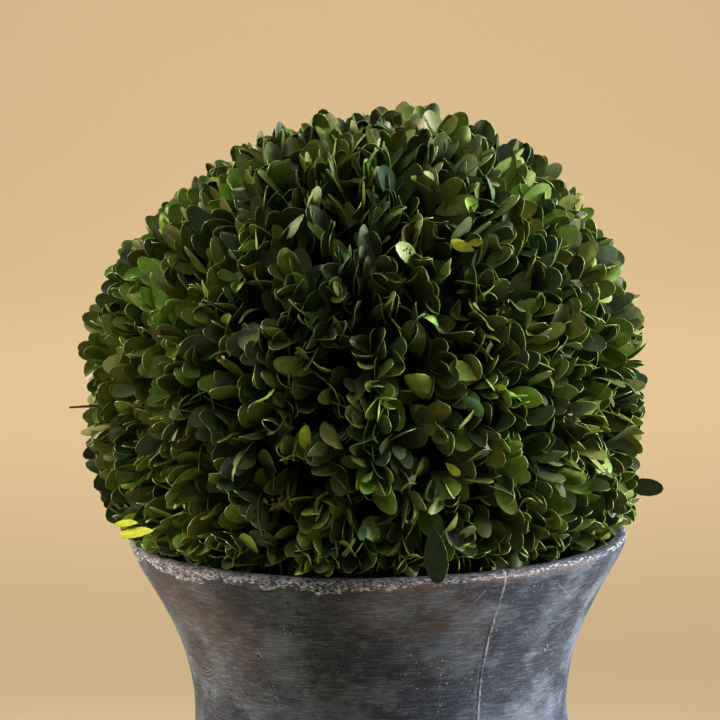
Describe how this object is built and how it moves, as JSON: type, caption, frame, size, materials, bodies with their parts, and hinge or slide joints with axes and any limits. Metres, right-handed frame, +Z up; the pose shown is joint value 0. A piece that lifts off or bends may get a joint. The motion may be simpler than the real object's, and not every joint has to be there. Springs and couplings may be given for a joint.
{
  "type": "box topiary ball in an urn",
  "caption": "Clipped ball of box leaves on a short hidden stem, set in the mouth of a flared, tall-waisted urn with a lobed bowl and a round foot.",
  "frame": {"origin": "centre of the flat underside of the urn's foot", "axes": "+Z up through the urn's axis; -Y faces the viewer of the picture; +X to the viewer's right"},
  "size_m": [0.3276, 0.3143, 0.5323],
  "materials": {
    "aged_terracotta": "matt, dark grey wash over cast clay, lime bloom along the lip",
    "dry_fill": "rough, dry foam under moss",
    "box_bark": "rough bark",
    "box_leaf": "semi-gloss preserved leaf"
  },
  "bodies": {
    "root": {"urn": "aged_terracotta", "dry_fill": "dry_fill", "stem": "box_bark", "foliage_ball": "box_leaf"}
  },
  "joints": []
}
